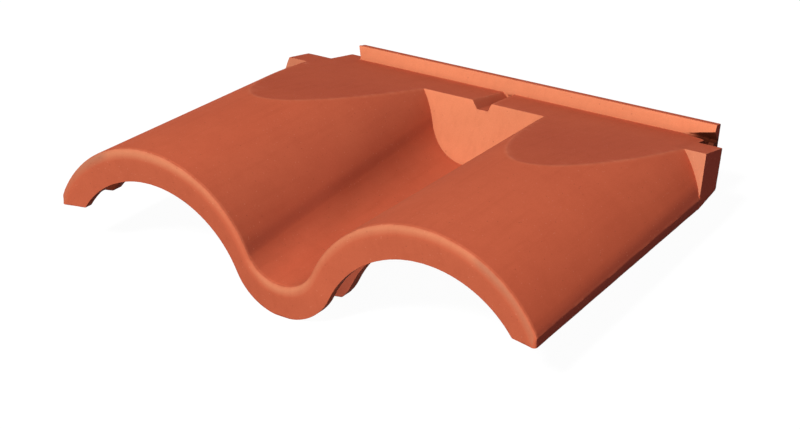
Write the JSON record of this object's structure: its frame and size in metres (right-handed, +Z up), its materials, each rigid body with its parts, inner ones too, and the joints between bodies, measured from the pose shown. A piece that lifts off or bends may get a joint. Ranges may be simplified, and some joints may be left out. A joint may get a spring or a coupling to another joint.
{
  "type": "clay roof tile",
  "caption": "Pressed clay top-course roof tile: rounded rolls with a pan between them, a closed flat head with an upstand, and nibs to hang on a batten.",
  "frame": {"origin": "on the plane that the tile lies on, under the centre of its bounding box", "axes": "+X across the roof, to the right of someone looking up the roof; +Y up the roof, from the nose to the head; +Z up, out of the weathered face"},
  "size_m": [0.2884, 0.242, 0.0716],
  "materials": {
    "clay": "matt unglazed fired clay, natural red"
  },
  "bodies": {
    "root": {"ridge_course_tile": "clay"}
  },
  "joints": []
}
